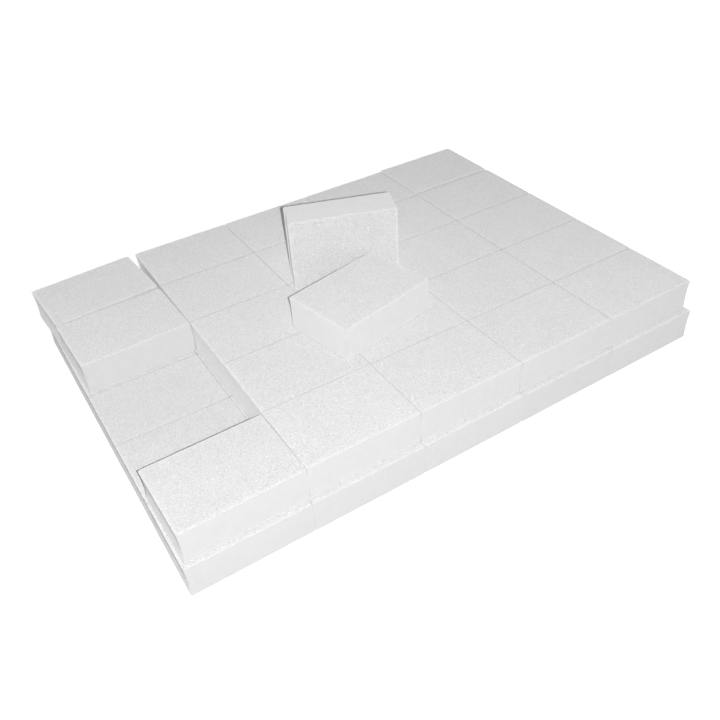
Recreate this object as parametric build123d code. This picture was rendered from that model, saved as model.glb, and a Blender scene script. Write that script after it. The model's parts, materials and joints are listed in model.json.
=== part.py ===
"""A pack of small nail buffer blocks, laid in two layers of five rows by five columns.

Every block is the same laminate: a foam core with an abrasive sheet bonded to each face by
an adhesive film. The lower layer's blocks were cut a little longer. Two blocks are out of
the upper layer. One lies on top of the pack, turned, and the other stands behind it on a
long side.

Millimetres, +Z up, +X to the right along the rows, +Y from the front row to the back row.
The origin is the centre of the lower layer's underside. Rows are lettered a to e from the
front, and columns are numbered 1 to 5 from the left, so upper_a1 is the front left block.
"""

import os
from math import cos, degrees, radians, sin
from random import Random

from build123d import *

# One block
BLOCK_LENGTH = 35.0
BLOCK_WIDTH = 25.0
FOAM_THICKNESS = 10.0
FILM_THICKNESS = 0.1
SHEET_THICKNESS = 0.5
RIM_WIDTH = 1.2  # band along a sheet's edge that the cutting die presses down
RIM_DROP = 0.25  # how far the sheet's edge is pressed down

# The grid
ROWS = "abcde"
COLUMNS = "12345"
UPPER_GAP = 0.3  # between blocks of the upper layer, both ways
LOWER_EXTRA_LENGTH = 0.6  # the lower layer's blocks were cut this much longer
LOWER_GAP_X = 0.15
LOWER_GAP_Y = 0.25
UPPER_SHIFT_X = -0.2  # the upper layer sits this far left of the lower one
UPPER_SHIFT_Y = 2.0  # and this far behind it
SEAT_CLEARANCE = 0.05  # grit keeps a block this far off what it lies on
PLAY_SHARE = 1 / 6  # share of a gap that a block may stray, and may turn at its corners
PLAY_SEED = 11

# Blocks of the left column that have been nudged, and the back right one
A1_TURN = 0.8  # degrees, anticlockwise from above
A1_SLIP_FORWARD = 0.5
D1_TURN = 1.6
D1_SLIP_FORWARD = 1.4  # into the empty place in front of it
E1_TURN = 3.7
E1_CORNER_GAP = 0.25  # between the corner that e1 swung about and d1
E5_SLIP_BACK = 0.8

# Places in the upper layer that are empty, and places held down by a loose block
EMPTY = ("b1", "c1")
HELD_DOWN = ("b2", "b3", "c2", "c3", "c4", "d3")
FREE_BELOW = ("c1",)  # lower blocks with nothing over them

# The block that lies loose, by its centre in shares of the upper layer's length and width
LOOSE_ALONG = 0.455
LOOSE_BACK = 0.359
LOOSE_TURN = 11.8

# The block that stands, by the corner of the loose block that it is just behind
STANDING_TURN = -20.5
STANDING_CLEARANCE = 0.3
STANDING_SLIDE = -8.4  # along its own face from that corner to its centre

LOWER_BLOCK_LENGTH = BLOCK_LENGTH + LOWER_EXTRA_LENGTH
BLOCK_HEIGHT = FOAM_THICKNESS + 2 * (FILM_THICKNESS + SHEET_THICKNESS)
UPPER_FLOOR = BLOCK_HEIGHT + SEAT_CLEARANCE
PACK_TOP = UPPER_FLOOR + BLOCK_HEIGHT
LOOSE_FLOOR = PACK_TOP + SEAT_CLEARANCE


def turned(x, y, angle):
    """The vector (x, y) turned anticlockwise by an angle in degrees."""
    a = radians(angle)
    return x * cos(a) - y * sin(a), x * sin(a) + y * cos(a)


def lying(x, y, floor, angle=0.0):
    """Where a flat block goes, with its centre over (x, y) and its underside at floor."""
    return Pos(x, y, floor + BLOCK_HEIGHT / 2) * Rot(0, 0, angle)


def grid_place(column, row, pitch_x, pitch_y):
    """Centre of a place in a layer whose own centre is the origin, counted from 0."""
    across = (column - (len(COLUMNS) - 1) / 2) * pitch_x
    back = (row - (len(ROWS) - 1) / 2) * pitch_y
    return across, back


def upper_place(column, row):
    """Centre of a place in the upper layer."""
    x, y = grid_place(column, row, BLOCK_LENGTH + UPPER_GAP, BLOCK_WIDTH + UPPER_GAP)
    return x + UPPER_SHIFT_X, y + UPPER_SHIFT_Y


def stray(random, gap):
    """A small offset and turn that keep a block clear of neighbours a gap away."""
    play = gap * PLAY_SHARE
    turn = degrees(play / (BLOCK_LENGTH / 2))
    return random.uniform(-play, play), random.uniform(-play, play), random.uniform(-turn, turn)


def left_column_centre(turn):
    """X of a turned block of column 1 whose right corner keeps the gap from column 2."""
    column_two = upper_place(1, 0)[0] - BLOCK_LENGTH / 2
    reach = turned(BLOCK_LENGTH / 2, -BLOCK_WIDTH / 2, turn)[0]
    return column_two - UPPER_GAP - reach


def nudged_places():
    """Places of the upper blocks that stand out of the grid, by name."""
    half_length, half_width = BLOCK_LENGTH / 2, BLOCK_WIDTH / 2
    a1 = left_column_centre(A1_TURN), upper_place(0, 0)[1] - A1_SLIP_FORWARD
    d1 = left_column_centre(D1_TURN), upper_place(0, 3)[1] - D1_SLIP_FORWARD
    # e1 has swung about its front left corner, which stays behind d1's back left corner.
    corner = turned(-half_length, half_width, D1_TURN)
    inward = turned(E1_CORNER_GAP, E1_CORNER_GAP, D1_TURN)
    to_centre = turned(half_length, half_width, E1_TURN)
    e1 = [d1[i] + corner[i] + inward[i] + to_centre[i] for i in (0, 1)]
    e5_x, e5_y = upper_place(4, 4)
    return {
        "a1": lying(*a1, UPPER_FLOOR, A1_TURN),
        "d1": lying(*d1, UPPER_FLOOR, D1_TURN),
        "e1": lying(*e1, UPPER_FLOOR, E1_TURN),
        "e5": lying(e5_x, e5_y + E5_SLIP_BACK, UPPER_FLOOR),
    }


def upper_places():
    """Every block of the upper layer, by name."""
    random = Random(PLAY_SEED)
    nudged = nudged_places()
    places = {}
    for row, letter in enumerate(ROWS):
        for column, number in enumerate(COLUMNS):
            name = letter + number
            dx, dy, turn = stray(random, UPPER_GAP)
            x, y = upper_place(column, row)
            if name not in EMPTY:
                places[name] = nudged.get(name) or lying(x + dx, y + dy, UPPER_FLOOR, turn)
    return places


def lower_places():
    """Every block of the lower layer, by name."""
    random = Random(PLAY_SEED + 1)
    pitch_x = LOWER_BLOCK_LENGTH + LOWER_GAP_X
    pitch_y = BLOCK_WIDTH + LOWER_GAP_Y
    places = {}
    for row, letter in enumerate(ROWS):
        for column, number in enumerate(COLUMNS):
            dx, dy, turn = stray(random, min(LOWER_GAP_X, LOWER_GAP_Y))
            x, y = grid_place(column, row, pitch_x, pitch_y)
            places[letter + number] = lying(x + dx, y + dy, 0.0, turn)
    return places


def loose_centre():
    """Centre of the loose block over the pack."""
    length = len(COLUMNS) * (BLOCK_LENGTH + UPPER_GAP) - UPPER_GAP
    width = len(ROWS) * (BLOCK_WIDTH + UPPER_GAP) - UPPER_GAP
    x, y = (LOOSE_ALONG - 0.5) * length, (LOOSE_BACK - 0.5) * width
    return x + UPPER_SHIFT_X, y + UPPER_SHIFT_Y


def standing_centre():
    """Centre of the standing block's foot, just behind the loose block's back right corner."""
    x, y = loose_centre()
    corner_x, corner_y = turned(BLOCK_LENGTH / 2, BLOCK_WIDTH / 2, LOOSE_TURN)
    behind = STANDING_CLEARANCE + BLOCK_HEIGHT / 2
    dx, dy = turned(STANDING_SLIDE, behind, STANDING_TURN)
    return x + corner_x + dx, y + corner_y + dy


def tipping_edge():
    """Middle of the bottom back edge that the standing block topples over, and its direction."""
    x, y = standing_centre()
    dx, dy = turned(0, BLOCK_HEIGHT / 2, STANDING_TURN)
    along_x, along_y = turned(1, 0, STANDING_TURN)
    return (x + dx, y + dy, LOOSE_FLOOR), (along_x, along_y, 0.0)


def loose_place():
    """The block that lies on the pack."""
    return lying(*loose_centre(), LOOSE_FLOOR, LOOSE_TURN)


def standing_place():
    """The block that stands on a long side, with its coarse face to the front."""
    x, y = standing_centre()
    return Pos(x, y, LOOSE_FLOOR + BLOCK_WIDTH / 2) * Rot(0, 0, STANDING_TURN) * Rot(90, 0, 0)


def foam_core(length):
    """The foam between the two films, centred on the origin."""
    return Box(length, BLOCK_WIDTH, FOAM_THICKNESS)


def film(length):
    """The adhesive film on the core's upper face."""
    middle = (FOAM_THICKNESS + FILM_THICKNESS) / 2
    return Pos(0, 0, middle) * Box(length, BLOCK_WIDTH, FILM_THICKNESS)


def sheet(length):
    """The abrasive sheet over the upper film, with its rim pressed down by the die."""
    middle = BLOCK_HEIGHT / 2 - SHEET_THICKNESS / 2
    plate = Pos(0, 0, middle) * Box(length, BLOCK_WIDTH, SHEET_THICKNESS)
    grit_face = plate.faces().sort_by(Axis.Z)[-1]
    return chamfer(grit_face.edges(), RIM_WIDTH, RIM_DROP, reference=grit_face)


def block_pieces(length):
    """The five solids of a block of this length, centred on the origin, coarse sheet on top."""
    over = Rot(180, 0, 0)
    return {
        "foam_core": [foam_core(length)],
        "coarse_sheet": [sheet(length)],
        "fine_sheet": [over * sheet(length)],
        "coarse_film": [film(length)],
        "fine_film": [over * film(length)],
    }


def write_node(name, pieces, places):
    """Writes parts/NAME.step with a copy of the pieces at each place, as separate solids."""
    solids = [solid for at in places for piece in pieces for solid in (at * piece).solids()]
    export_step(Compound(solids), os.path.join("parts", name + ".step"))


def write_group(name, places, length=BLOCK_LENGTH):
    """One node for each kind of piece, over all the blocks at these places."""
    pieces = block_pieces(length)
    write_node(name + "_foam_cores", pieces["foam_core"], places)
    write_node(name + "_coarse_sheets", pieces["coarse_sheet"], places)
    write_node(name + "_fine_sheets", pieces["fine_sheet"], places)
    write_node(name + "_adhesive_films", pieces["coarse_film"] + pieces["fine_film"], places)


def write_grid_block(name, place, length=BLOCK_LENGTH):
    """Two nodes for a block of the grid that lifts out: its core, and its bonded facings."""
    pieces = block_pieces(length)
    facings = [piece for kind, found in pieces.items() if kind != "foam_core" for piece in found]
    write_node(name + "_foam_core", pieces["foam_core"], [place])
    write_node(name + "_bonded_sheets", facings, [place])


def write_single_block(name, place):
    """Five nodes for a block that is out of the grid, one for each of its pieces."""
    for kind, found in block_pieces(BLOCK_LENGTH).items():
        write_node(f"{name}_{kind}", found, [place])


def main():
    """Builds every block of the pack and writes its nodes."""
    os.makedirs("parts", exist_ok=True)
    upper, lower = upper_places(), lower_places()
    held_below = [lower[name] for name in lower if name not in FREE_BELOW]
    write_group("lower_layer", held_below, LOWER_BLOCK_LENGTH)
    write_group("held_down", [upper[name] for name in HELD_DOWN])
    for name, place in upper.items():
        if name not in HELD_DOWN:
            write_grid_block("upper_" + name, place)
    for name in FREE_BELOW:
        write_grid_block("lower_" + name, lower[name], LOWER_BLOCK_LENGTH)
    write_single_block("loose_block", loose_place())
    write_single_block("standing_block", standing_place())


if __name__ == "__main__":
    main()
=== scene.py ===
"""A pack of small white nail buffer blocks, in two layers, with two blocks out of their places.

Every block is a foam core with an abrasive paper bonded to each face by a thin film of glue.
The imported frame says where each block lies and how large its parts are. This script builds
the finished pieces around it: foam with die-cut, slightly waisted walls, papers whose rims
the die has pressed down, the grit on them, and the glue that shows at their edges.

Everything is in metres, in the frame's own axes: +X along the rows, +Y from the front row to
the back row, and +Z up.
"""

import json
import logging
import math
from dataclasses import astuple, dataclass, field
from enum import Enum
from random import Random
from typing import Callable, Iterable, Iterator

import bmesh
import bpy
from bmesh.types import BMEdge, BMesh, BMFace, BMLayerItem, BMVert
from bpy.types import Material, NodeSocket
from mathutils import Matrix, Vector, noise


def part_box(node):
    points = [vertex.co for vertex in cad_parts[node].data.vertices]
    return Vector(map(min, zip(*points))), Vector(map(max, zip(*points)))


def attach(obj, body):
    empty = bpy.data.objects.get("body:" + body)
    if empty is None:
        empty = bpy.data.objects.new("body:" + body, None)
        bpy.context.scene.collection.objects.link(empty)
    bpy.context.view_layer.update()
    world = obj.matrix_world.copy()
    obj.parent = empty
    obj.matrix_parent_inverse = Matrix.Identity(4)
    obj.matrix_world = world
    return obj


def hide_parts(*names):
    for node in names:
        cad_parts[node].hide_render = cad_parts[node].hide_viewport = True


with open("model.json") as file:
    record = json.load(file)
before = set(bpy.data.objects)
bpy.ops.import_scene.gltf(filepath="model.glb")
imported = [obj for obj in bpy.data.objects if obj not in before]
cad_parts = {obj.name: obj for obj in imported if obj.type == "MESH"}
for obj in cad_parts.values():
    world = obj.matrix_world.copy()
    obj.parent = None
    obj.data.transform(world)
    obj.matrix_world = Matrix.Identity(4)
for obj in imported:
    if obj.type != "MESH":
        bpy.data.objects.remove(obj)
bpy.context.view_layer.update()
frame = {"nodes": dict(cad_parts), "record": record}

log = logging.getLogger("buffer_blocks")

MM = 0.001

# What every point of a block's mesh carries for its finish.
GRAIN_LAYER = "grain_place"
TINT_LAYER = "tint"
RIM_LAYER = "rim"

# How one block differs from the next.
OFFSET_RANGE = (0.2, 4.0)  # how far off in the endless foam and grit a block is cut, metres
SIDE_SHIFT = 0.05  # how far off in the endless grit each side of a block is cut, metres
TINT_SPREAD = 0.03  # how much lighter or darker than the others a block may be
TONE_LIMIT = 0.06  # the tone that counts as lightest, and below zero as darkest
SNUG_RIM_LIGHT = 0.35  # painted highlight of a rim that has another block close beside it, where the paper edge gets painted seam shade instead

# How a mesh is made.
WELD = 1e-6  # points closer than this are one, metres
CORNER_STEPS = 3  # edges that a rounded corner has
SHARP_FOLD = math.radians(20.0)  # edges that fold more than this show as a crease
PROBE_STEP = 0.05 * MM  # how finely the gap to the next block is measured
PROBE_COUNT = 16  # how many such steps away a block still counts as a neighbour

# The ripples that make each thing uneven: the share of each, and its size in millimetres.
Ripples = tuple[tuple[float, float], ...]
BOW_RIPPLES: Ripples = ((0.3, 16.0),)
WALL_RIPPLES: Ripples = ((0.35, 5.0), (0.15, 1.4))
RIM_RIPPLES: Ripples = ((0.3, 7.0), (0.18, 1.8))
CRUMB_RIPPLES: Ripples = ((0.5, 1.1),)
CRUMB_PATCHES: Ripples = ((0.4, 6.0),)
FACE_RIPPLES: Ripples = ((0.6, 9.0), (0.3, 3.0), (0.25, 1.1))
DROP_RIPPLES: Ripples = ((0.35, 1.6),)


# ----------------------------------------
# Finishes
# ----------------------------------------


class Shader:
    """A material's node tree, with short calls to add nodes and join them."""

    COLOR_INPUTS = (0, 6, 7)  # a Mix node's share, first colour and second colour
    COLOR_RESULT = 2  # a Mix node's mixed colour

    def __init__(self, name: str) -> None:
        """Starts a material that holds a Principled shader.

        Args:
            name: The material's name.
        """
        self.material = bpy.data.materials.new(name)
        self.material.use_nodes = True
        self.nodes = self.material.node_tree.nodes
        self.links = self.material.node_tree.links
        self.surface = self.nodes["Principled BSDF"]

    def add(self, kind: str, **values: object) -> bpy.types.Node:
        """Adds a node.

        Args:
            kind: The node's type without the ShaderNode prefix.
            **values: Settings of the node, and values or sources of its inputs. An input's
                name is written in lower case with underscores.

        Returns:
            The new node.
        """
        node = self.nodes.new("ShaderNode" + kind)
        inputs = {socket.name.lower().replace(" ", "_"): socket for socket in reversed(node.inputs)}
        for name, value in values.items():
            if name in inputs:
                self.feed(inputs[name], value)
            else:
                setattr(node, name, value)
        return node

    def feed(self, socket: NodeSocket, value: object) -> None:
        """Gives an input a value, or joins it to another node's output.

        Args:
            socket: The input.
            value: A plain value, or the output to join.
        """
        if isinstance(value, NodeSocket):
            self.links.new(value, socket)
        else:
            socket.default_value = value

    def math(self, operation: str, *values: object) -> NodeSocket:
        """Adds a Math node.

        Args:
            operation: The Math node's operation.
            *values: Its inputs, in order.

        Returns:
            The node's output.
        """
        node = self.nodes.new("ShaderNodeMath")
        node.operation = operation
        for socket, value in zip(node.inputs, values):
            self.feed(socket, value)
        return node.outputs[0]

    def remap(self, value: NodeSocket, low: float, high: float,
              new_low: float, new_high: float) -> NodeSocket:
        """Maps a range of values onto another, without going past its ends.

        Args:
            value: What to map.
            low: Where the old range starts.
            high: Where it ends.
            new_low: What low becomes.
            new_high: What high becomes.

        Returns:
            The mapped output.
        """
        node = self.add("MapRange", value=value, from_min=low, from_max=high,
                        to_min=new_low, to_max=new_high)
        return node.outputs["Result"]

    def blend(self, share: object, first: object, second: object) -> NodeSocket:
        """Mixes two colours.

        Args:
            share: How much of the second colour shows, from 0 to 1.
            first: The colour at 0.
            second: The colour at 1.

        Returns:
            The mixed colour.
        """
        node = self.nodes.new("ShaderNodeMix")
        node.data_type = "RGBA"
        for index, value in zip(self.COLOR_INPUTS, (share, first, second)):
            self.feed(node.inputs[index], value)
        return node.outputs[self.COLOR_RESULT]

    def darkened(self, color: NodeSocket, tone: NodeSocket, most: float) -> NodeSocket:
        """Darkens a colour, the more the lower its tone is.

        Args:
            color: The colour.
            tone: The tone, from -TONE_LIMIT to TONE_LIMIT.
            most: How much grey shows where the tone is lowest.

        Returns:
            The darkened colour.
        """
        return self.blend(self.remap(tone, -TONE_LIMIT, TONE_LIMIT, most, 0.0), color, SHADE)

    def grain_place(self) -> NodeSocket:
        """Finds where in the endless foam or grit a point of the surface was cut from.

        Returns:
            That place, in millimetres.
        """
        at = self.add("Attribute", attribute_name=GRAIN_LAYER)
        scaled = self.add("VectorMath", operation="SCALE")
        self.feed(scaled.inputs[0], at.outputs["Vector"])
        self.feed(scaled.inputs["Scale"], 1 / MM)
        return scaled.outputs[0]

    def share_of(self, layer: str) -> NodeSocket:
        """Reads a value that the mesh carries, such as its tint or how much painted highlight a rim
        gets.
        """
        return self.add("Attribute", attribute_name=layer).outputs["Fac"]

    def finish(self, color: object, roughness: object, height: object, depth: float) -> Material:
        """Joins colour, roughness and relief to the surface.

        Args:
            color: The base colour.
            roughness: The roughness.
            height: Relief, from 0 to 1.
            depth: How deep that relief is, in metres.

        Returns:
            The material.
        """
        bump = self.add("Bump", height=height, distance=depth)
        self.feed(self.surface.inputs["Base Color"], color)
        self.feed(self.surface.inputs["Roughness"], roughness)
        self.feed(self.surface.inputs["Normal"], bump.outputs["Normal"])
        self.surface.inputs["Diffuse Roughness"].default_value = 1.0
        return self.material


def grey(level: float, warmth: float = 0.0) -> tuple[float, float, float, float]:
    """Makes a near-neutral colour.

    Args:
        level: Its brightness, from 0 to 1.
        warmth: How far it leans to warm, or to lilac where it is negative.

    Returns:
        Red, green, blue and alpha.
    """
    return (level + abs(warmth) / 2, level + min(warmth, 0.0) / 2, level - warmth, 1.0)


SHADE = grey(0.5, -0.02)  # what a darker block leans to
SEAM_SHADE_GREY = grey(0.25)  # painted shade in a seam
WHITE = grey(1.0)


@dataclass(frozen=True)
class GritFinish:
    """White abrasive mineral, glued as grains on paper and coated white."""

    name: str
    grain: float  # size of one grain, mm
    clump: float  # size of a clump of grains, mm
    hollow: float  # brightness between the grains, with painted shade
    crest: float  # brightness of a grain's top, with painted light
    painted_glint_share: float  # share of the larger crystals that get a painted white highlight
    depth: float  # relief of the grains, mm
    mottle: float = 0.03  # how much lighter or darker a broad patch is
    patches: float = 0.11  # broad patches in a millimetre
    shade: float = 0.12  # how much the darkest tone darkens
    rim_highlight_level: float = 0.93  # brightness of the painted highlight on a rim
    rim_highlight_share: tuple[float, float] = (0.15, 0.7)  # share of painted highlight on a rim between the clumps, and on them
    rim_highlight_fade: float = 1.6  # how quickly the painted highlight fades away from the edge
    crystal: float = 2.6  # size of a larger crystal, in grains
    painted_glint: float = 0.4  # how much of a crystal, from its middle, is painted white as a highlight
    gloss: tuple[float, float] = (0.8, 0.18)  # roughness of the grit, and of a painted highlight spot

    def material(self) -> Material:
        """Makes the grit's material.

        Returns:
            The material.
        """
        s = Shader(self.name)
        place = s.grain_place()
        grains = s.add("TexVoronoi", vector=place, scale=1 / self.grain)
        clumps = s.add("TexNoise", vector=place, scale=1 / self.clump, detail=3.0, roughness=0.65)
        mottle = s.add("TexNoise", vector=place, scale=self.patches, detail=2.0, roughness=0.5)
        # Partly painted light and shade: each grain keeps its own random tone, but the same dome and
        # clumps that raise the relief also make the colour lighter on the grains' tops and darker in the
        # hollows between them.
        dome = s.remap(grains.outputs["Distance"], 0.0, 0.75, 1.0, 0.0)
        grain_tone = s.add("SeparateColor", color=grains.outputs["Color"])
        level = s.math("MULTIPLY_ADD", grain_tone.outputs[0], 0.45, s.math("MULTIPLY", dome, 0.55))
        level = s.math("MULTIPLY_ADD", clumps.outputs["Fac"], 0.55, s.math("MULTIPLY", level, 0.6))
        color = s.blend(s.remap(level, 0.25, 0.85, 0.0, 1.0), grey(self.hollow), grey(self.crest))
        tone = s.share_of(TINT_LAYER)
        patch = s.remap(mottle.outputs["Fac"], 0.3, 0.7, -self.mottle, self.mottle)
        color = s.darkened(color, s.math("ADD", tone, patch), self.shade)
        # Painted highlight: the rims are painted lighter, most on the clumps of grit, for the light that
        # the pressed-down rims catch. Rims with a block close beside them get less.
        edge = s.math("POWER", s.share_of(RIM_LAYER), self.rim_highlight_fade)
        rim_highlight = s.math("MULTIPLY", edge, s.remap(clumps.outputs["Fac"], 0.4, 0.6, *self.rim_highlight_share))
        color = s.blend(rim_highlight, color, grey(self.rim_highlight_level))
        # Painted highlight: a few larger crystals are painted pure white as glints, and they are given a
        # lower roughness too.
        crystals = s.add("TexVoronoi", vector=place, scale=1 / (self.crystal * self.grain))
        pick = s.add("SeparateColor", color=crystals.outputs["Color"])
        chosen = s.math("GREATER_THAN", pick.outputs[1], 1 - self.painted_glint_share)
        near = s.math("LESS_THAN", crystals.outputs["Distance"], self.painted_glint)
        painted_glint = s.math("MULTIPLY", chosen, near)
        color = s.blend(painted_glint, color, WHITE)
        roughness = s.remap(painted_glint, 0.0, 1.0, *self.gloss)
        relief = s.math("MULTIPLY_ADD", clumps.outputs["Fac"], 0.6, s.math("MULTIPLY", dome, 0.5))
        s.surface.inputs["Specular IOR Level"].default_value = 0.45
        return s.finish(color, roughness, relief, self.depth * MM)


@dataclass(frozen=True)
class FoamFinish:
    """Closed-cell foam, cut by a steel rule: fine cells and faint strokes down the wall."""

    name: str
    cell: float  # size of a cell, mm
    level: float  # brightness
    depth: float  # relief of the cut cells, mm
    darker: float = 0.015  # how much darker the darkest strokes are
    lighter: float = 0.012  # how much lighter the lightest strokes are
    stroke_stretch: float = 0.06  # how fast the strokes change down the wall, to along it
    pore_shade: float = 0.16  # how much darker the painted shade at the bottom of a pore is
    pore_share: float = 0.22  # how much of that painted shade shows
    shade: float = 0.08  # how much the darkest tone darkens
    sheen: tuple[float, float] = (0.12, 0.6)  # weight and roughness of the foam's soft sheen

    def material(self) -> Material:
        """Makes the foam's material.

        Returns:
            The material.
        """
        s = Shader(self.name)
        place = s.grain_place()
        cells = s.add("TexVoronoi", vector=place, scale=1 / self.cell, feature="SMOOTH_F1")
        soft = s.add("TexNoise", vector=place, scale=0.35, detail=3.0, roughness=0.55)
        squashed = s.add("Mapping", vector=place, scale=(1.0, 1.0, self.stroke_stretch))
        strokes = s.add("TexNoise", vector=squashed.outputs[0], scale=1.6, detail=2.0)
        soft_level = s.math("MULTIPLY", soft.outputs["Fac"], 0.65)
        level = s.math("MULTIPLY_ADD", strokes.outputs["Fac"], 0.35, soft_level)
        color = s.blend(s.remap(level, 0.35, 0.65, 0.0, 1.0), grey(self.level - self.darker, -0.004),
                        grey(self.level + self.lighter, -0.003))
        # Painted shade: the middle of each cut cell, which lies lowest in the relief, is painted darker.
        pores = s.remap(cells.outputs["Distance"], 0.1, 0.6, self.pore_share, 0.0)
        color = s.blend(pores, color, grey(self.level - self.pore_shade, -0.01))
        color = s.darkened(color, s.share_of(TINT_LAYER), self.shade)
        relief = s.math("MULTIPLY_ADD", cells.outputs["Distance"], 0.8, s.math("MULTIPLY", level, 0.5))
        s.surface.inputs["Specular IOR Level"].default_value = 0.3
        s.surface.inputs["Sheen Weight"].default_value = self.sheen[0]
        s.surface.inputs["Sheen Roughness"].default_value = self.sheen[1]
        return s.finish(color, 0.85, relief, self.depth * MM)


@dataclass(frozen=True)
class PaperFinish:
    """The cut edge and the back of the abrasive paper: short white fibres."""

    name: str
    level: float  # brightness
    seam_shade: float  # how much painted shade darkens it where another block lies close by
    depth: float = 0.03  # relief of the fibres, mm

    def material(self) -> Material:
        """Makes the paper's material.

        Returns:
            The material.
        """
        s = Shader(self.name)
        place = s.grain_place()
        stretched = s.add("Mapping", vector=place, scale=(1.0, 1.0, 4.0))
        fibres = s.add("TexNoise", vector=stretched.outputs[0], scale=2.2, detail=5.0, roughness=0.7)
        fibre_level = s.remap(fibres.outputs["Fac"], 0.3, 0.7, 0.0, 1.0)
        color = s.blend(fibre_level, grey(self.level - 0.05), grey(self.level + 0.03))
        # Painted shade: the paper edge is painted darker where another block lies close beside it, for
        # the shade in the seam.
        seam_shade = s.remap(s.share_of(RIM_LAYER), SNUG_RIM_LIGHT, 1.0, self.seam_shade, 0.0)
        color = s.blend(seam_shade, color, SEAM_SHADE_GREY)
        return s.finish(color, 0.9, fibres.outputs["Fac"], self.depth * MM)


@dataclass(frozen=True)
class GlueFinish:
    """The film of glue between paper and foam, a little darker and smoother than both."""

    name: str
    level: float  # brightness
    depth: float = 0.02  # relief of the smears, mm

    def material(self) -> Material:
        """Makes the glue's material.

        Returns:
            The material.
        """
        s = Shader(self.name)
        place = s.grain_place()
        smears = s.add("TexNoise", vector=place, scale=0.9, detail=3.0, roughness=0.6)
        smear_level = s.remap(smears.outputs["Fac"], 0.3, 0.7, 0.0, 1.0)
        color = s.blend(smear_level, grey(self.level - 0.08, 0.03), grey(self.level + 0.06, 0.02))
        roughness = s.remap(smears.outputs["Fac"], 0.3, 0.7, 0.35, 0.6)
        return s.finish(color, roughness, smears.outputs["Fac"], self.depth * MM)


@dataclass(frozen=True)
class TableFinish:
    """A white table with a faint tooth, which glows a little as a light table does."""

    name: str
    level: float  # brightness
    glow: float  # strength of its own light
    teeth: float = 900.0  # how many teeth lie in a metre
    depth: float = 0.01  # relief of the tooth, mm

    def material(self) -> Material:
        """Makes the table's material.

        Returns:
            The material.
        """
        s = Shader(self.name)
        at = s.add("TexCoord").outputs["Object"]
        tooth = s.add("TexNoise", vector=at, scale=self.teeth, detail=2.0)
        color = s.blend(tooth.outputs["Fac"], grey(self.level - 0.01), grey(self.level))
        s.surface.inputs["Emission Color"].default_value = WHITE
        s.surface.inputs["Emission Strength"].default_value = self.glow
        s.surface.inputs["Specular IOR Level"].default_value = 0.1
        return s.finish(color, 0.95, tooth.outputs["Fac"], self.depth * MM)


class Layer(Enum):
    """What a face of a block is made of, in the order of the materials on every piece."""

    COARSE_GRIT = 0
    FINE_GRIT = 1
    PAPER = 2
    GLUE = 3
    FOAM = 4


FINISHES = {
    Layer.COARSE_GRIT: GritFinish("coarse white grit", grain=0.2, clump=0.27, hollow=0.595, crest=0.985,
                                  painted_glint_share=0.005, depth=0.1),
    Layer.FINE_GRIT: GritFinish("fine white grit", grain=0.15, clump=0.22, hollow=0.68, crest=0.92,
                                painted_glint_share=0.003, depth=0.07),
    Layer.PAPER: PaperFinish("white paper backing", level=0.8, seam_shade=0.17),
    Layer.GLUE: GlueFinish("glue film", level=0.6),
    Layer.FOAM: FoamFinish("white closed-cell foam", cell=0.26, level=0.762, depth=0.06),
}


# ----------------------------------------
# One block's pieces
# ----------------------------------------


@dataclass
class Walls:
    """One length for each of a block's four walls, such as how far it is from its neighbour.

    Attributes:
        left: For the wall that looks along -X in the block's own axes.
        right: For the one that looks along +X.
        front: For the one that looks along -Y.
        back: For the one that looks along +Y.
    """

    left: float = 0.0
    right: float = 0.0
    front: float = 0.0
    back: float = 0.0

    def towards(self, at: Vector) -> tuple[float, float]:
        """Gives the lengths of the two walls that a point in the block's own axes is nearer to."""
        return (self.right if at.x > 0 else self.left, self.back if at.y > 0 else self.front)

    def each(self, change: Callable[[float], float]) -> "Walls":
        """Gives each wall a new length that is made out of its old one."""
        return Walls(change(self.left), change(self.right), change(self.front), change(self.back))


@dataclass
class Place:
    """Where one block lies, and what makes it differ from the others.

    Attributes:
        matrix: The block's own axes and centre. Its length is along X and its coarse face is +Z.
        offset: Where in the endless foam and grit this block was cut from, in metres.
        tint: How much lighter or darker than the others it is.
        gaps: How far each wall is from the block beside it. It is endless where there is none.
    """

    matrix: Matrix
    offset: Vector
    tint: float
    gaps: Walls = field(default_factory=lambda: Walls(math.inf, math.inf, math.inf, math.inf))


def add_object(name: str, data: bpy.types.ID) -> bpy.types.Object:
    """Puts a new object in the scene.

    Args:
        name: The object's name.
        data: Its mesh, camera or light.

    Returns:
        The object.
    """
    added = bpy.data.objects.new(name, data)
    bpy.context.scene.collection.objects.link(added)
    return added


def ripple(at: Vector, size_mm: float) -> float:
    """Gives a smooth random value from -1 to 1 that changes over a given distance.

    Args:
        at: A point, in metres.
        size_mm: About how far apart the value's peaks are, in millimetres.

    Returns:
        The value at that point.
    """
    return noise.noise(at / (size_mm * MM))


def unevenness(at: Vector, ripples: Ripples) -> float:
    """Adds up ripples of several sizes.

    Args:
        at: A point, in metres.
        ripples: The share and the size in millimetres of each.

    Returns:
        Their sum at that point.
    """
    return sum(share * ripple(at, size_mm) for share, size_mm in ripples)


def tag_faces(verts: Iterable[BMVert], layer: Layer, smooth: bool) -> None:
    """Gives the faces between some vertices a material and a shading.

    Args:
        verts: The vertices.
        layer: What the faces are made of.
        smooth: Whether they are shaded smoothly.
    """
    chosen = set(verts)
    for face in {face for vert in chosen for face in vert.link_faces}:
        if all(vert in chosen for vert in face.verts):
            face.material_index = layer.value
            face.smooth = smooth


def open_edges(verts: Iterable[BMVert]) -> list[BMEdge]:
    """Finds the edges at the border of a surface, in a fixed order, from its vertices."""
    found = {edge: None for vert in verts for edge in vert.link_edges if edge.is_boundary}
    return list(found)


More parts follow.
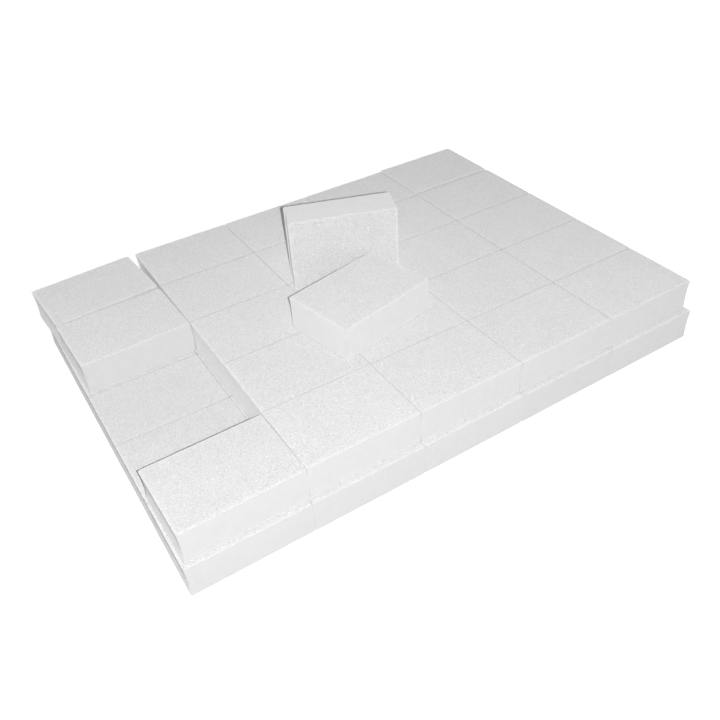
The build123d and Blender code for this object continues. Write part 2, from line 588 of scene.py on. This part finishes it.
def rounded_rectangle(bm: BMesh, length: float, width: float, radius: float) -> BMFace:
    """Adds a rectangle with rounded corners, as one face.

    Args:
        bm: The mesh that gets it.
        length: Size along X.
        width: Size along Y.
        radius: Radius of the corners.

    Returns:
        The face.
    """
    made = bmesh.ops.create_grid(bm, x_segments=1, y_segments=1, size=0.5)
    bmesh.ops.scale(bm, verts=made["verts"], vec=(length, width, 1.0))
    rounded = bmesh.ops.bevel(bm, geom=made["verts"], offset=radius, segments=CORNER_STEPS,
                              profile=0.5, affect="VERTICES", material=-1)
    return rounded["verts"][0].link_faces[0]


@dataclass
class Slab:
    """A thin or thick plate with rounded corners, made of a wall and two caps.

    Attributes:
        length: Size along X, in metres.
        width: Size along Y.
        height: Size along Z.
        radius: Radius of the upright corners.
        step: Distance between the wall's points along its outline.
        rows: How many rows of faces the wall has.
        waists: How far each wall is drawn in at half its height. It swells where this is negative.
        wobble: How uneven the wall is.
    """

    length: float
    width: float
    height: float
    radius: float = 0.07 * MM
    step: float = 0.8 * MM
    rows: int = 10
    waists: Walls = field(default_factory=Walls)
    wobble: float = 0.07 * MM

    def build(self, bm: BMesh, offset: Vector, layer: Layer) -> list[BMVert]:
        """Adds the slab, centred on the origin.

        Args:
            bm: The mesh that gets it.
            offset: Where its unevenness is taken from.
            layer: What it is made of.

        Returns:
            The slab's vertices.
        """
        face = rounded_rectangle(bm, self.length, self.width, self.radius)
        edges = list(face.edges)
        bmesh.ops.delete(bm, geom=[face], context="FACES_ONLY")
        lower = self._divide(bm, edges)
        walls = bmesh.ops.extrude_edge_only(bm, edges=lower)["geom"]
        raised = [item for item in walls if isinstance(item, BMVert)]
        upper = [item for item in walls if isinstance(item, BMEdge) and item.is_boundary]
        bmesh.ops.translate(bm, verts=raised, vec=(0.0, 0.0, self.height))
        upright = self._uprights(raised)
        bmesh.ops.edgeloop_fill(bm, edges=lower, mat_nr=layer.value)
        bmesh.ops.edgeloop_fill(bm, edges=upper, mat_nr=layer.value)
        between = []
        if self.rows > 1:
            cut = bmesh.ops.subdivide_edges(bm, edges=upright, cuts=self.rows - 1)
            between = [item for item in cut["geom_inner"] if isinstance(item, BMVert)]
        verts = dict.fromkeys([vert for edge in lower + upper for vert in edge.verts] + between)
        tag_faces(verts, layer, smooth=True)
        self._shape(list(verts), offset)
        faces = {face for vert in verts for face in vert.link_faces}
        bmesh.ops.recalc_face_normals(bm, faces=list(faces))
        for edge in {edge for face in faces for edge in face.edges}:
            edge.smooth = edge.calc_face_angle(0.0) < SHARP_FOLD
        return list(verts)

    def _divide(self, bm: BMesh, edges: list[BMEdge]) -> list[BMEdge]:
        """Divides an outline's long edges into steps.

        Args:
            bm: The mesh.
            edges: The outline's edges.

        Returns:
            All the outline's edges, old and new.
        """
        whole = list(edges)
        for edge in edges:
            cuts = round(edge.calc_length() / self.step) - 1
            if cuts > 0:
                cut = bmesh.ops.subdivide_edges(bm, edges=[edge], cuts=cuts)
                whole += [item for item in cut["geom_split"] if isinstance(item, BMEdge)]
        return list(dict.fromkeys(edge for edge in whole if edge.is_valid))

    @staticmethod
    def _uprights(raised: list[BMVert]) -> list[BMEdge]:
        """Finds the upright edges of the wall.

        Args:
            raised: The vertices of its upper outline.

        Returns:
            The edges that join the upper outline to the lower one.
        """
        top = set(raised)
        edges = {edge: None for vert in raised for edge in vert.link_edges
                 if not all(end in top for end in edge.verts)}
        return list(edges)

    def _shape(self, verts: list[BMVert], offset: Vector) -> None:
        """Draws the walls in at half their height, makes them uneven and centres the slab.

        Args:
            verts: The slab's vertices, from z = 0 up.
            offset: Where its unevenness is taken from.
        """
        for vert in verts:
            vert.co.z -= self.height / 2
            up = 2 * vert.co.z / self.height
            at = vert.co + offset
            bow = (1 - up * up) * (1 + unevenness(at, BOW_RIPPLES))
            rough = self.wobble * (0.5 + unevenness(at, WALL_RIPPLES))
            waist_x, waist_y = self.waists.towards(vert.co)
            vert.co.x *= 1 - (waist_x * bow + rough) / (self.length / 2)
            vert.co.y *= 1 - (waist_y * bow + rough) / (self.width / 2)


@dataclass
class AbrasivePaper:
    """A sheet of abrasive paper, with grit on its upper face and its rim pressed down.

    Attributes:
        length: Size along X, in metres.
        width: Size along Y.
        thickness: Size along Z.
        cells: Faces along X and Y.
        rim: Width of the band that the die pressed down.
        drop: How far the edge is pressed down.
        crumble: How ragged the edge is.
        corner_pull: How far a corner is drawn in.
        relief: How uneven the face is.
        most_sunk: The most that a point of the face may sink, as a share of the thickness.
        crowding: How much denser the faces are towards the rims.
        spread: How far each edge reaches past the block's size.
        rim_light: How much painted highlight each rim gets, from 0 to 1. Where it is low, the paper edge
            below is painted with seam shade.
    """

    length: float
    width: float
    thickness: float
    cells: tuple[int, int]
    rim: float = 1.25 * MM
    drop: float = 0.24 * MM
    crumble: float = 0.12 * MM
    corner_pull: float = 0.1 * MM
    relief: float = 0.035 * MM
    most_sunk: float = 0.8
    crowding: float = 0.38
    spread: Walls = field(default_factory=Walls)
    rim_light: Walls = field(default_factory=Walls)

    def build(self, bm: BMesh, offset: Vector, grit: Layer, rims: BMLayerItem) -> list[BMVert]:
        """Adds the sheet with its underside at z = 0 and its grit upwards.

        Args:
            bm: The mesh that gets it.
            offset: Where its unevenness is taken from.
            grit: The grit on it.
            rims: The mesh's layer for the painted highlight on a rim, which also sets the painted shade
                in a seam.

        Returns:
            The sheet's vertices.
        """
        made = bmesh.ops.create_grid(bm, x_segments=self.cells[0], y_segments=self.cells[1], size=0.5)
        face_verts = made["verts"]
        rim_edges = open_edges(face_verts)
        for vert in face_verts:
            self._press(vert, offset, rims)
        tag_faces(face_verts, grit, smooth=True)
        skirt = bmesh.ops.extrude_edge_only(bm, edges=rim_edges)["geom"]
        lower = [item for item in skirt if isinstance(item, BMVert)]
        lower_edges = [item for item in skirt if isinstance(item, BMEdge) and item.is_boundary]
        for vert in lower:
            vert.co.z = 0.0
        bmesh.ops.edgeloop_fill(bm, edges=lower_edges, mat_nr=Layer.PAPER.value)
        edge_verts = {vert: None for edge in rim_edges + lower_edges for vert in edge.verts}
        tag_faces(edge_verts, Layer.PAPER, smooth=True)
        for edge in rim_edges + lower_edges:
            edge.smooth = False
        verts = list(dict.fromkeys(face_verts + lower))
        faces = {face for vert in verts for face in vert.link_faces}
        bmesh.ops.recalc_face_normals(bm, faces=list(faces))
        return verts

    def _graded(self, share: float) -> float:
        """Moves a place from -1 to 1 towards its nearer end, so that the rims get more faces."""
        return share + self.crowding * math.sin(math.pi * share) / math.pi

    def _press(self, vert: BMVert, offset: Vector, rims: BMLayerItem) -> None:
        """Puts a point of the flat grid on the sheet's pressed and slightly uneven face.

        Args:
            vert: The point.
            offset: Where the sheet's unevenness is taken from.
            rims: The mesh's layer for the painted highlight on a rim, which also sets the painted shade
                in a seam.
        """
        x = self._graded(vert.co.x * 2) * self.length / 2
        y = self._graded(vert.co.y * 2) * self.width / 2
        at = Vector((x, y, 0.0)) + offset
        rim = self.rim * (1 + unevenness(at, RIM_RIPPLES))
        across = max(0.0, 1 - (self.length / 2 - abs(x)) / rim)
        along = max(0.0, 1 - (self.width / 2 - abs(y)) / rim)
        spread_x, spread_y = self.spread.towards(Vector((x, y, 0.0)))
        rim_light_x, rim_light_y = self.rim_light.towards(Vector((x, y, 0.0)))
        near = 1 - (1 - across ** 2) * (1 - along ** 2)
        crumbled = (0.5 + unevenness(at, CRUMB_RIPPLES)) * (0.6 + unevenness(at, CRUMB_PATCHES))
        pulled = self.crumble * crumbled + self.corner_pull * (across * along) ** 2
        x += (spread_x - pulled) * across ** 3 * math.copysign(1.0, x)
        y += (spread_y - pulled) * along ** 3 * math.copysign(1.0, y)
        dropped = self.drop * near * (1 + unevenness(at, DROP_RIPPLES))
        sunk = self.relief * (0.9 + unevenness(at, FACE_RIPPLES)) + dropped
        vert.co = Vector((x, y, self.thickness - min(sunk, self.most_sunk * self.thickness)))
        vert[rims] = max(rim_light_x * across, rim_light_y * along)


@dataclass
class BufferBlock:
    """One nail buffer block: foam core, two abrasive papers and the glue under each.

    Attributes:
        length: Size along X, in metres.
        width: Size along Y.
        foam: Thickness of the foam core.
        glue: Thickness of one film of glue.
        paper: Thickness of one abrasive paper.
        cells: Faces of a paper along X and Y.
        waist: How far each wall of the foam is drawn in at half its height, if it is free.
        swell: The most that a wall swells towards the block beside it.
        swell_share: How much of the gap to that block the wall swells into.
        seam: The gap that is left between the papers of two blocks that lie close together.
        glue_inset: How much smaller than the foam a film of glue is, along X and Y.
        glue_step: Distance between the points along the outline of a film of glue.
        glue_wobble: How uneven the edge of a film of glue is.
    """

    length: float
    width: float
    foam: float
    glue: float
    paper: float
    cells: tuple[int, int]
    waist: Walls = field(default_factory=lambda: Walls(0.3 * MM, 0.12 * MM, 0.12 * MM, 0.12 * MM))
    swell: float = 0.14 * MM
    swell_share: float = 0.46
    seam: float = 0.24 * MM
    glue_inset: float = 0.1 * MM
    glue_step: float = 1.3 * MM
    glue_wobble: float = 0.16 * MM

    def holds(self, at: Vector) -> bool:
        """Tells whether a point in the block's own axes lies in its foam."""
        return abs(at.x) < self.length / 2 and abs(at.y) < self.width / 2 and abs(at.z) < self.foam / 2

    def _foam_waists(self, gaps: Walls) -> Walls:
        """Finds how far each wall of the foam is drawn in at half its height.

        Args:
            gaps: How far each wall is from the block beside it.

        Returns:
            The waist of a free wall, and less than zero for a wall that swells into a gap.
        """
        swells = gaps.each(lambda gap: min(self.swell_share * gap, self.swell))
        triples = zip(astuple(self.waist), astuple(gaps), astuple(swells))
        return Walls(*(waist if gap == math.inf else -swell for waist, gap, swell in triples))

    def _paper_spread(self, gap: float) -> float:
        """Finds how far an edge of the paper reaches into a gap, to leave a thin seam."""
        return 0.0 if gap == math.inf else min(max(gap - self.seam, 0.0) / 2, self.swell)

    @staticmethod
    def _rim_light(gap: float) -> float:
        """Finds how much painted highlight a rim gets: less where the next block lies close by."""
        return 1.0 if gap == math.inf else SNUG_RIM_LIGHT

    def add_foam(self, bm: BMesh, place: Place) -> list[BMVert]:
        """Adds the foam core, centred on the origin.

        Args:
            bm: The mesh that gets it.
            place: Where the block lies.

        Returns:
            The core's vertices.
        """
        core = Slab(self.length, self.width, self.foam, waists=self._foam_waists(place.gaps))
        return core.build(bm, place.offset, Layer.FOAM)

    def add_glue(self, bm: BMesh, place: Place, side: int) -> list[BMVert]:
        """Adds the film of glue on one side.

        Args:
            bm: The mesh that gets it.
            place: Where the block lies.
            side: 1 for the coarse side and -1 for the fine one.

        Returns:
            The film's vertices.
        """
        film = Slab(self.length - self.glue_inset, self.width - self.glue_inset, self.glue,
                    step=self.glue_step, rows=1, wobble=self.glue_wobble)
        verts = film.build(bm, place.offset * (1 + side), Layer.GLUE)
        lift = side * (self.foam + self.glue) / 2
        bmesh.ops.translate(bm, verts=verts, vec=(0.0, 0.0, lift))
        return verts

    def add_paper(self, bm: BMesh, place: Place, side: int, rims: BMLayerItem) -> list[BMVert]:
        """Adds the abrasive paper on one side.

        Args:
            bm: The mesh that gets it.
            place: Where the block lies.
            side: 1 for the coarse side and -1 for the fine one.
            rims: The mesh's layer for the painted highlight on a rim, which also sets the painted shade
                in a seam.

        Returns:
            The paper's vertices.
        """
        grit = Layer.COARSE_GRIT if side > 0 else Layer.FINE_GRIT
        gaps = place.gaps
        if side < 0:
            gaps = Walls(gaps.left, gaps.right, gaps.back, gaps.front)
        sheet = AbrasivePaper(self.length, self.width, self.paper, self.cells,
                              spread=gaps.each(self._paper_spread), rim_light=gaps.each(self._rim_light))
        offset = place.offset + Vector((0.0, 0.0, SIDE_SHIFT * side))
        verts = sheet.build(bm, offset, grit, rims)
        bmesh.ops.translate(bm, verts=verts, vec=(0.0, 0.0, self.foam / 2 + self.glue))
        if side < 0:
            turned_over = Matrix.Rotation(math.pi, 3, "X")
            bmesh.ops.rotate(bm, verts=verts, cent=(0.0, 0.0, 0.0), matrix=turned_over)
        return verts


# ----------------------------------------
# The pack
# ----------------------------------------


def corner_groups(node: str) -> Iterator[list[Vector]]:
    """Gives the corner points of each solid in a CAD node.

    Args:
        node: The node's name.

    Yields:
        The corners of one solid.
    """
    bm = bmesh.new()
    bm.from_mesh(frame["nodes"][node].data)
    bmesh.ops.remove_doubles(bm, verts=bm.verts, dist=WELD)
    for first in bm.verts:
        if first.tag:
            continue
        first.tag = True
        group = [first]
        for vert in group:
            for edge in vert.link_edges:
                other = edge.other_vert(vert)
                if not other.tag:
                    other.tag = True
                    group.append(other)
        yield [vert.co.copy() for vert in group]
    bm.free()


def middle(node: str) -> Vector:
    """Finds the middle of a CAD node's box."""
    low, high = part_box(node)
    return (low + high) / 2


def axes_of(corners: list[Vector], coarse_way: Vector) -> tuple[Matrix, Vector]:
    """Finds how a foam core lies from its corners.

    Args:
        corners: The core's eight corners.
        coarse_way: Roughly which way its coarse face looks.

    Returns:
        The core's placement, and its sizes along its own axes.
    """
    centre = sum(corners, Vector()) / len(corners)
    sides = sorted((corner - corners[0] for corner in corners[1:]), key=lambda side: side.length)
    thick, wide = sides[0], sides[1]
    up = thick.normalized()
    if up.dot(coarse_way) < 0:
        up = -up
    along = wide.normalized().cross(up)
    if along.x < 0:
        along = -along
    back = up.cross(along)
    turn = Matrix((along, back, up)).transposed().to_4x4()
    long = max(abs((corner - corners[0]).dot(along)) for corner in corners)
    return Matrix.Translation(centre) @ turn, Vector((long, wide.length, thick.length))


class Piece(Enum):
    """The kinds of CAD node that a set of blocks has, by the end of the node's name."""

    FOAM = ("foam_core", "foam_cores")
    COARSE_PAPER = ("coarse_sheet", "coarse_sheets")
    FINE_PAPER = ("fine_sheet", "fine_sheets")
    COARSE_GLUE = ("coarse_film",)
    FINE_GLUE = ("fine_film",)
    BOTH_GLUES = ("adhesive_films",)
    FACINGS = ("bonded_sheets",)


@dataclass
class BlockSet:
    """The blocks that share a row of CAD nodes, from a single block to a whole layer.

    Attributes:
        prefix: What their nodes' names start with.
        body: The body that they move with.
        sizes: Thickness of the paper and of the glue, in metres.
        cells: Faces of a paper along X and Y.
        materials: One material for each layer, in order.
        blocks: Where each block lies.
        block: The block that they all are.
    """

    prefix: str
    body: str
    sizes: tuple[float, float]
    cells: tuple[int, int]
    materials: list[Material]
    blocks: list[Place] = field(init=False, default_factory=list)
    block: BufferBlock = field(init=False)

    def __post_init__(self) -> None:
        """Reads the blocks' places and sizes from their foam cores."""
        core = self.node(Piece.FOAM)
        coarse = self.node(Piece.COARSE_PAPER)
        way = middle(coarse) - middle(core) if coarse else Vector((0.0, 0.0, 1.0))
        for index, corners in enumerate(corner_groups(core)):
            matrix, size = axes_of(corners, way)
            random = Random(f"{self.prefix} {index}")
            offset = Vector([random.uniform(*OFFSET_RANGE) for _ in range(3)])
            self.blocks.append(Place(matrix, offset, random.uniform(-TINT_SPREAD, TINT_SPREAD)))
        paper, glue = self.sizes
        self.block = BufferBlock(size.x, size.y, size.z, glue, paper, self.cells)

    def node(self, piece: Piece) -> str | None:
        """Finds the name of this set's node of one kind, or None if it has none."""
        names = (f"{self.prefix}_{ending}" for ending in piece.value)
        return next((name for name in names if name in frame["nodes"]), None)

    def build(self) -> list[bpy.types.Object]:
        """Builds a finished piece for each of the set's nodes.

        Returns:
            The pieces.
        """
        kinds = [kind for kind in Piece if self.node(kind)]
        return [self._finished(kind, self.node(kind)) for kind in kinds]

    def _finished(self, kind: Piece, node: str) -> bpy.types.Object:
        """Builds the piece that stands for one node, puts it on its body and hides the CAD node.

        Args:
            kind: What the piece is.
            node: The CAD node's name.

        Returns:
            The piece.
        """
        bm = bmesh.new()
        grains = bm.verts.layers.float_vector.new(GRAIN_LAYER)
        tints = bm.verts.layers.float.new(TINT_LAYER)
        rims = bm.verts.layers.float.new(RIM_LAYER)
        for place in self.blocks:
            for verts in self._parts(bm, kind, place, rims):
                for vert in verts:
                    vert[grains] = vert.co + place.offset
                    vert[tints] = place.tint
                bmesh.ops.transform(bm, matrix=place.matrix, verts=verts)
        mesh = bpy.data.meshes.new(node + "_mesh")
        bm.to_mesh(mesh)
        bm.free()
        for material in self.materials:
            mesh.materials.append(material)
        piece = add_object(node + "_mesh", mesh)
        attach(piece, self.body)
        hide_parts(node)
        log.info("%s: %d blocks, %d faces", piece.name, len(self.blocks), len(mesh.polygons))
        return piece

    def _parts(self, bm: BMesh, kind: Piece, place: Place, rims: BMLayerItem) -> Iterator[list[BMVert]]:
        """Adds one block's parts of a node, in the block's own axes.

        Args:
            bm: The mesh that gets them.
            kind: What the node is.
            place: Where the block lies.
            rims: The mesh's layer for the painted highlight on a rim, which also sets the painted shade
                in a seam.

        Yields:
            The vertices of one part.
        """
        if kind is Piece.FOAM:
            yield self.block.add_foam(bm, place)
        if kind in (Piece.COARSE_GLUE, Piece.BOTH_GLUES, Piece.FACINGS):
            yield self.block.add_glue(bm, place, 1)
        if kind in (Piece.FINE_GLUE, Piece.BOTH_GLUES, Piece.FACINGS):
            yield self.block.add_glue(bm, place, -1)
        if kind in (Piece.COARSE_PAPER, Piece.FACINGS):
            yield self.block.add_paper(bm, place, 1, rims)
        if kind in (Piece.FINE_PAPER, Piece.FACINGS):
            yield self.block.add_paper(bm, place, -1, rims)


@dataclass
class Pack:
    """The whole pack.

    Attributes:
        close_cells: Faces of a paper along X and Y where it is seen well.
        far_cells: The same in the lower layer, which is mostly hidden.
    """

    close_cells: tuple[int, int] = (72, 52)
    far_cells: tuple[int, int] = (56, 40)

    def build(self) -> list[bpy.types.Object]:
        """Builds every block of the pack.

        Returns:
            All the pieces.
        """
        materials = [FINISHES[layer].material() for layer in Layer]
        sizes = self._thicknesses()
        sets = []
        for body, nodes in frame["record"]["behaviour"]["bodies"].items():
            for prefix in self._prefixes(nodes):
                cells = self.far_cells if prefix == "lower_layer" else self.close_cells
                sets.append(BlockSet(prefix, body, sizes, cells, materials))
        self._find_neighbours(sets)
        return [piece for each in sets for piece in each.build()]

    @staticmethod
    def _find_neighbours(sets: list[BlockSet]) -> None:
        """Measures how far each block's walls are from the block beside them.

        Args:
            sets: All the sets of blocks. Their places get the gaps.
        """
        blocks = [(place, place.matrix.inverted(), each.block) for each in sets for place in each.blocks]
        steps = [PROBE_STEP * number for number in range(1, PROBE_COUNT + 1)]

        def gap(place: Place, start: Vector, way: Vector) -> float:
            """Measures the gap beyond one wall.

            Args:
                place: The block's place.
                start: The middle of its wall, in its own axes.
                way: Which way the wall looks.

            Returns:
                How far off the first other block is, or infinity if none is close.
            """
            others = [(inverse, block) for other, inverse, block in blocks if other is not place]
            for step in steps:
                point = place.matrix @ (start + way * step)
                if any(block.holds(inverse @ point) for inverse, block in others):
                    return step
            return math.inf

        for place, _, block in blocks:
            long, wide = Vector((block.length / 2, 0.0, 0.0)), Vector((0.0, block.width / 2, 0.0))
            ends = (-long, long, -wide, wide)
            place.gaps = Walls(*(gap(place, end, end.normalized()) for end in ends))

    @staticmethod
    def _prefixes(nodes: list[str]) -> list[str]:
        """Finds what the node names of each set of blocks on a body start with.

        Args:
            nodes: The names of the body's nodes.

        Returns:
            The starts of the names, in order.
        """
        found = [node[:-len(ending) - 1] for node in nodes for ending in Piece.FOAM.value
                 if node.endswith("_" + ending)]
        return sorted(found)

    @staticmethod
    def _thicknesses() -> tuple[float, float]:
        """Measures one paper and one film of glue on the block that lies loose.

        Returns:
            The thickness of the paper and of the glue.
        """
        heights = []
        for node in ("loose_block_coarse_sheet", "loose_block_coarse_film"):
            low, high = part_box(node)
            heights.append(high.z - low.z)
        return heights[0], heights[1]


# ----------------------------------------
# The studio
# ----------------------------------------


@dataclass
class Studio:
    """A white table, a camera close above the pack's front left corner, and soft light.

    Attributes:
        eye: Where the camera is, in metres.
        aim: The point on the pack's top that it looks at.
        roll: How far the camera is turned about its own line of sight, in degrees.
        lens: Focal length, in millimetres.
        sensor: Width of the camera's sensor, in millimetres.
        reach: The nearest and the farthest that the camera sees.
        lamp_offset: Where the lamp is from the camera, along the camera's own axes.
        lamp_radius: Radius of the lamp.
        lamp_power: Power of the lamp.
        fill: Strength of the lights behind the pack.
        fill_softness: How wide each of them looks, in degrees.
        fill_headings: Each one's name, and which way it is turned about Z, in degrees.
        sky: Strength of the even light from all round.
        table_radius: Radius of the table's flat part.
        table_edges: How many edges the table's rim has.
        cove: Radius of the curve that the table rises in at its rim.
        cove_steps: How many rows of faces that curve has.
    """

    eye: Vector = field(default_factory=lambda: Vector((-0.1062, -0.1835, 0.165)))
    aim: Vector = field(default_factory=lambda: Vector((-0.0195, -0.033, 0.02245)))
    roll: float = -3.76
    lens: float = 38.73
    sensor: float = 36.0
    reach: tuple[float, float] = (0.005, 20.0)
    lamp_offset: Vector = field(default_factory=lambda: Vector((0.0056, -0.001, 0.0)))
    lamp_radius: float = 0.0015
    lamp_power: float = 6.85
    fill: float = 1.2
    fill_softness: float = 8.0
    fill_headings: tuple[tuple[str, float], ...] = (("back fill", 20.0), ("right fill", -75.0))
    sky: float = 0.27
    table_radius: float = 1.5
    table_edges: int = 96
    cove: float = 1.5
    cove_steps: int = 12

    def build(self) -> None:
        """Sets up the table, the camera, the lamp and the surrounding light."""
        self._camera()
        self._table()
        self._lamp()
        self._fills()
        self._surroundings()
        bpy.context.scene.view_settings.view_transform = "Standard"
        log.info("studio ready")

    def _sight(self) -> Matrix:
        """Works out the camera's turn, from its line of sight and its roll."""
        level = (self.aim - self.eye).to_track_quat("-Z", "Y").to_matrix()
        return (level @ Matrix.Rotation(math.radians(self.roll), 3, "Z")).to_4x4()

    def _camera(self) -> None:
        """Makes the camera."""
        data = bpy.data.cameras.new("camera")
        data.lens = self.lens
        data.sensor_width = self.sensor
        data.clip_start, data.clip_end = self.reach
        camera = add_object("camera", data)
        camera.matrix_world = Matrix.Translation(self.eye) @ self._sight()
        bpy.context.scene.camera = camera

    def _table(self) -> None:
        """Makes the table that the pack lies on."""
        bm = bmesh.new()
        made = bmesh.ops.create_circle(bm, cap_ends=True, segments=self.table_edges,
                                       radius=self.table_radius)
        rim = open_edges(made["verts"])
        for step in range(1, self.cove_steps + 1):
            angle = math.radians(90.0 * step / self.cove_steps)
            raised = bmesh.ops.extrude_edge_only(bm, edges=rim)["geom"]
            verts = [item for item in raised if isinstance(item, BMVert)]
            rim = [item for item in raised if isinstance(item, BMEdge) and item.is_boundary]
            for vert in verts:
                out = vert.co.xy.normalized() * (self.table_radius + self.cove * math.sin(angle))
                vert.co = Vector((out.x, out.y, self.cove * (1 - math.cos(angle))))
        bmesh.ops.recalc_face_normals(bm, faces=bm.faces)
        mesh = bpy.data.meshes.new("table")
        bm.to_mesh(mesh)
        bm.free()
        mesh.materials.append(TableFinish("white table", level=0.5, glow=0.8).material())
        mesh.shade_smooth()
        table = add_object("table", mesh)
        table.visible_diffuse = False
        table.visible_shadow = False

    def _lamp(self) -> None:
        """Makes the small lamp beside the camera, which gives the thin shadows."""
        data = bpy.data.lights.new("lamp", "POINT")
        data.shadow_soft_size = self.lamp_radius
        data.energy = self.lamp_power
        data.use_nodes = True
        nodes = data.node_tree.nodes
        falloff = nodes.new("ShaderNodeLightFalloff")
        falloff.inputs["Strength"].default_value = 1.0
        data.node_tree.links.new(falloff.outputs["Linear"], nodes["Emission"].inputs["Strength"])
        lamp = add_object("lamp", data)
        lamp.location = self.eye + self._sight().to_3x3() @ self.lamp_offset

    def _fills(self) -> None:
        """Makes two level, soft lights behind the pack, for the walls that the lamp doesn't reach."""
        for name, heading in self.fill_headings:
            data = bpy.data.lights.new(name, "SUN")
            data.angle = math.radians(self.fill_softness)
            data.energy = self.fill
            light = add_object(name, data)
            light.rotation_euler = (math.radians(-90.0), 0.0, math.radians(heading))

    def _surroundings(self) -> None:
        """Makes the even white light from all round."""
        world = bpy.data.worlds.new("white room")
        world.use_nodes = True
        background = world.node_tree.nodes["Background"]
        background.inputs["Color"].default_value = WHITE
        background.inputs["Strength"].default_value = self.sky
        bpy.context.scene.world = world


def main() -> None:
    """Builds the studio and the pack."""
    logging.basicConfig(level=logging.INFO, format="%(name)s: %(message)s")
    Studio().build()
    pieces = Pack().build()
    log.info("%d pieces in all", len(pieces))


if __name__ == "__main__":
    main()
